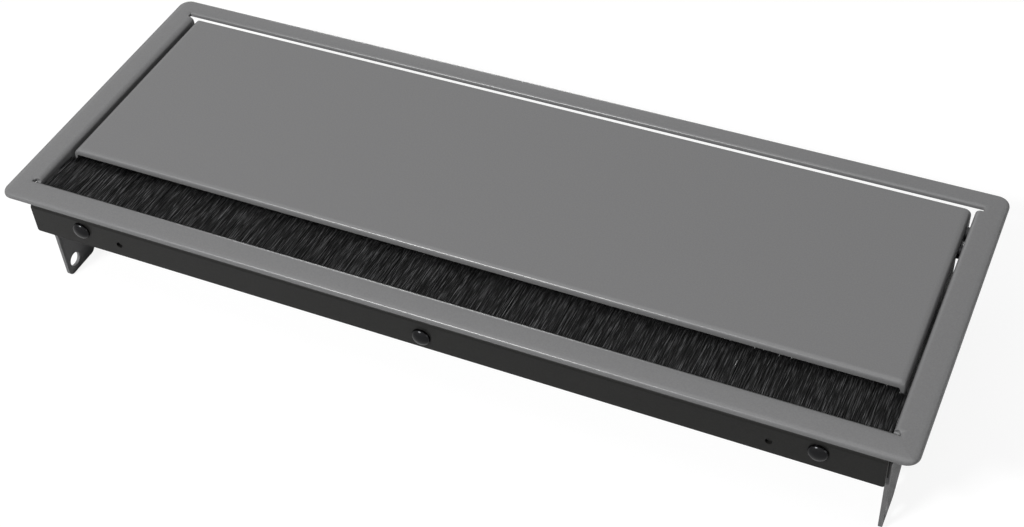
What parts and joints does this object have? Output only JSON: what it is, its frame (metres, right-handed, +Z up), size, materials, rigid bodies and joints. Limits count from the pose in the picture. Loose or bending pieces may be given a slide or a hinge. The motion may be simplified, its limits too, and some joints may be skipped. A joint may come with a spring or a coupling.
{
  "type": "brush cable grommet",
  "caption": "Long desk cable grommet: flat metal frame with end walls below, a hinged metal lid and a brush strip along its front that cables pass through.",
  "frame": {"origin": "middle of the flange's underside, the plane that rests on the desk top", "axes": "+X along the long side, -Y towards the brush side, +Z up out of the desk"},
  "size_m": [0.32, 0.12, 0.047],
  "materials": {
    "grey_coat": "fine textured matt powder coat",
    "dark_coat": "matt black powder coat",
    "bristle": "nylon hairs",
    "zinc_steel": "zinc plated",
    "dark_steel": "black oxide",
    "spacer_plastic": "natural nylon"
  },
  "bodies": {
    "root": {"frame": "grey_coat", "brush_rail": "dark_coat", "brush_channel": "zinc_steel", "brush_core_wire": "zinc_steel", "bristles": "bristle", "pivot_pin_left": "dark_steel", "pivot_pin_right": "dark_steel", "stop_pin_left": "dark_steel", "stop_pin_right": "dark_steel", "pivot_spacer_left": "spacer_plastic", "pivot_spacer_right": "spacer_plastic", "pivot_clip_left": "zinc_steel", "pivot_clip_right": "zinc_steel", "rail_screw_left": "dark_steel", "rail_screw_middle": "dark_steel", "rail_screw_right": "dark_steel", "rail_nut_left": "zinc_steel", "rail_nut_middle": "zinc_steel", "rail_nut_right": "zinc_steel"},
    "lid": {"lid": "grey_coat"}
  },
  "joints": [
    {"name": "lid_hinge", "type": "hinge", "parent": "root", "child": "lid", "pos_m": [0, 0.0439, -0.0045], "axis": [-1, 0, 0], "range_deg": [0, 100]}
  ]
}
